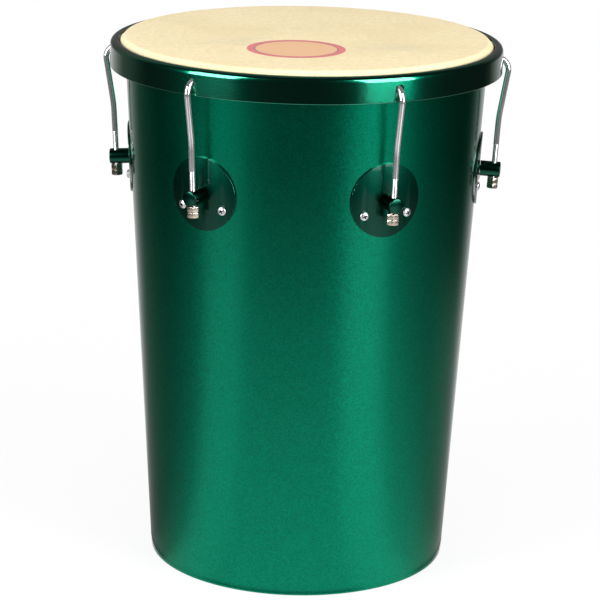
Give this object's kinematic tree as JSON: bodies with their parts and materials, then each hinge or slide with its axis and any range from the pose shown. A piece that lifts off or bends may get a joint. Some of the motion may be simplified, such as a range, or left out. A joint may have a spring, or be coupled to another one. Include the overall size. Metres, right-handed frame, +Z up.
{
  "type": "rebolo drum",
  "caption": "Tall tapered hand drum: metallic green metal shell open at the foot, natural skin head, green counter hoop and chrome hook rods drawn down by nuts under round lug posts.",
  "frame": {"origin": "on the drum's axis, in the plane that its foot stands on", "axes": "+Z up along the drum's axis to the head; -Y is the side that faces the camera in the picture and +X is the picture's right"},
  "size_m": [0.3422, 0.3282, 0.4505],
  "materials": {
    "shell_paint": "metallic green lacquer with fine flake, satin under a clear gloss",
    "hoop_paint": "metallic green lacquer, high gloss",
    "lug_paint": "metallic green lacquer, high gloss",
    "skin": "natural cream drum skin, matt, faintly mottled",
    "rod_chrome": "polished chrome",
    "screw_chrome": "bright plated",
    "nut_plating": "yellowish zinc plating, dulled",
    "inner_steel": "zinc-plated steel"
  },
  "bodies": {
    "drum_body": {"shell": "shell_paint", "lug_plate_1": "lug_paint", "lug_plate_2": "lug_paint", "lug_plate_3": "lug_paint", "lug_plate_4": "lug_paint", "lug_plate_5": "lug_paint", "lug_plate_6": "lug_paint", "lug_post_1": "lug_paint", "lug_post_2": "lug_paint", "lug_post_3": "lug_paint", "lug_post_4": "lug_paint", "lug_post_5": "lug_paint", "lug_post_6": "lug_paint", "plate_screw_1": "screw_chrome", "plate_screw_2": "screw_chrome", "plate_screw_3": "screw_chrome", "plate_screw_4": "screw_chrome", "plate_screw_5": "screw_chrome", "plate_screw_6": "screw_chrome", "plate_screw_7": "screw_chrome", "plate_screw_8": "screw_chrome", "plate_screw_9": "screw_chrome", "plate_screw_10": "screw_chrome", "plate_screw_11": "screw_chrome", "plate_screw_12": "screw_chrome", "post_bolt_1": "inner_steel", "post_bolt_2": "inner_steel", "post_bolt_3": "inner_steel", "post_bolt_4": "inner_steel", "post_bolt_5": "inner_steel", "post_bolt_6": "inner_steel", "post_washer_1": "inner_steel", "post_washer_2": "inner_steel", "post_washer_3": "inner_steel", "post_washer_4": "inner_steel", "post_washer_5": "inner_steel", "post_washer_6": "inner_steel"},
    "tension_ring": {"counter_hoop": "hoop_paint", "flesh_hoop": "inner_steel", "drumhead": "skin", "hook_rod_1": "rod_chrome", "hook_rod_2": "rod_chrome", "hook_rod_3": "rod_chrome", "hook_rod_4": "rod_chrome", "hook_rod_5": "rod_chrome", "hook_rod_6": "rod_chrome"},
    "tuning_nut_1": {"tuning_nut_1": "nut_plating"},
    "tuning_nut_2": {"tuning_nut_2": "nut_plating"},
    "tuning_nut_3": {"tuning_nut_3": "nut_plating"},
    "tuning_nut_4": {"tuning_nut_4": "nut_plating"},
    "tuning_nut_5": {"tuning_nut_5": "nut_plating"},
    "tuning_nut_6": {"tuning_nut_6": "nut_plating"},
    "lock_nut_1": {"lock_nut_1": "nut_plating"},
    "lock_nut_2": {"lock_nut_2": "nut_plating"},
    "lock_nut_3": {"lock_nut_3": "nut_plating"},
    "lock_nut_4": {"lock_nut_4": "nut_plating"},
    "lock_nut_5": {"lock_nut_5": "nut_plating"},
    "lock_nut_6": {"lock_nut_6": "nut_plating"}
  },
  "joints": [
    {"name": "hoop_tension", "type": "slide", "parent": "drum_body", "child": "tension_ring", "axis": [0, 0, 1], "range_m": [0, 0.0045]},
    {"name": "tuning_nut_1_turn", "type": "hinge", "parent": "drum_body", "child": "tuning_nut_1", "pos_m": [-0.08793, -0.13335, 0.33321], "axis": [-0.0302, -0.0458, 0.9985], "range_deg": [-2040, 0]},
    {"name": "tuning_nut_2_turn", "type": "hinge", "parent": "drum_body", "child": "tuning_nut_2", "pos_m": [0.07152, -0.14282, 0.33321], "axis": [0.0246, -0.0491, 0.9985], "range_deg": [-2040, 0]},
    {"name": "tuning_nut_3_turn", "type": "hinge", "parent": "drum_body", "child": "tuning_nut_3", "pos_m": [0.15945, -0.00947, 0.33321], "axis": [0.0548, -0.0033, 0.9985], "range_deg": [-2040, 0]},
    {"name": "tuning_nut_4_turn", "type": "hinge", "parent": "drum_body", "child": "tuning_nut_4", "pos_m": [0.08793, 0.13335, 0.33321], "axis": [0.0302, 0.0458, 0.9985], "range_deg": [-2040, 0]},
    {"name": "tuning_nut_5_turn", "type": "hinge", "parent": "drum_body", "child": "tuning_nut_5", "pos_m": [-0.07152, 0.14282, 0.33321], "axis": [-0.0246, 0.0491, 0.9985], "range_deg": [-2040, 0]},
    {"name": "tuning_nut_6_turn", "type": "hinge", "parent": "drum_body", "child": "tuning_nut_6", "pos_m": [-0.15945, 0.00947, 0.33321], "axis": [-0.0548, 0.0033, 0.9985], "range_deg": [-2040, 0]},
    {"name": "lock_nut_1_turn", "type": "hinge", "parent": "drum_body", "child": "lock_nut_1", "pos_m": [-0.08778, -0.13313, 0.32842], "axis": [-0.0302, -0.0458, 0.9985], "range_deg": [-2040, 0]},
    {"name": "lock_nut_2_turn", "type": "hinge", "parent": "drum_body", "child": "lock_nut_2", "pos_m": [0.0714, -0.14259, 0.32842], "axis": [0.0246, -0.0491, 0.9985], "range_deg": [-2040, 0]},
    {"name": "lock_nut_3_turn", "type": "hinge", "parent": "drum_body", "child": "lock_nut_3", "pos_m": [0.15919, -0.00946, 0.32842], "axis": [0.0548, -0.0033, 0.9985], "range_deg": [-2040, 0]},
    {"name": "lock_nut_4_turn", "type": "hinge", "parent": "drum_body", "child": "lock_nut_4", "pos_m": [0.08778, 0.13313, 0.32842], "axis": [0.0302, 0.0458, 0.9985], "range_deg": [-2040, 0]},
    {"name": "lock_nut_5_turn", "type": "hinge", "parent": "drum_body", "child": "lock_nut_5", "pos_m": [-0.0714, 0.14259, 0.32842], "axis": [-0.0246, 0.0491, 0.9985], "range_deg": [-2040, 0]},
    {"name": "lock_nut_6_turn", "type": "hinge", "parent": "drum_body", "child": "lock_nut_6", "pos_m": [-0.15919, 0.00946, 0.32842], "axis": [-0.0548, 0.0033, 0.9985], "range_deg": [-2040, 0]}
  ],
  "couplings": [
    {"joint": "tuning_nut_1_turn", "follows": "hoop_tension", "rad_per_m": -7854},
    {"joint": "tuning_nut_2_turn", "follows": "hoop_tension", "rad_per_m": -7854},
    {"joint": "tuning_nut_3_turn", "follows": "hoop_tension", "rad_per_m": -7854},
    {"joint": "tuning_nut_4_turn", "follows": "hoop_tension", "rad_per_m": -7854},
    {"joint": "tuning_nut_5_turn", "follows": "hoop_tension", "rad_per_m": -7854},
    {"joint": "tuning_nut_6_turn", "follows": "hoop_tension", "rad_per_m": -7854},
    {"joint": "lock_nut_1_turn", "follows": "hoop_tension", "rad_per_m": -7854},
    {"joint": "lock_nut_2_turn", "follows": "hoop_tension", "rad_per_m": -7854},
    {"joint": "lock_nut_3_turn", "follows": "hoop_tension", "rad_per_m": -7854},
    {"joint": "lock_nut_4_turn", "follows": "hoop_tension", "rad_per_m": -7854},
    {"joint": "lock_nut_5_turn", "follows": "hoop_tension", "rad_per_m": -7854},
    {"joint": "lock_nut_6_turn", "follows": "hoop_tension", "rad_per_m": -7854}
  ]
}
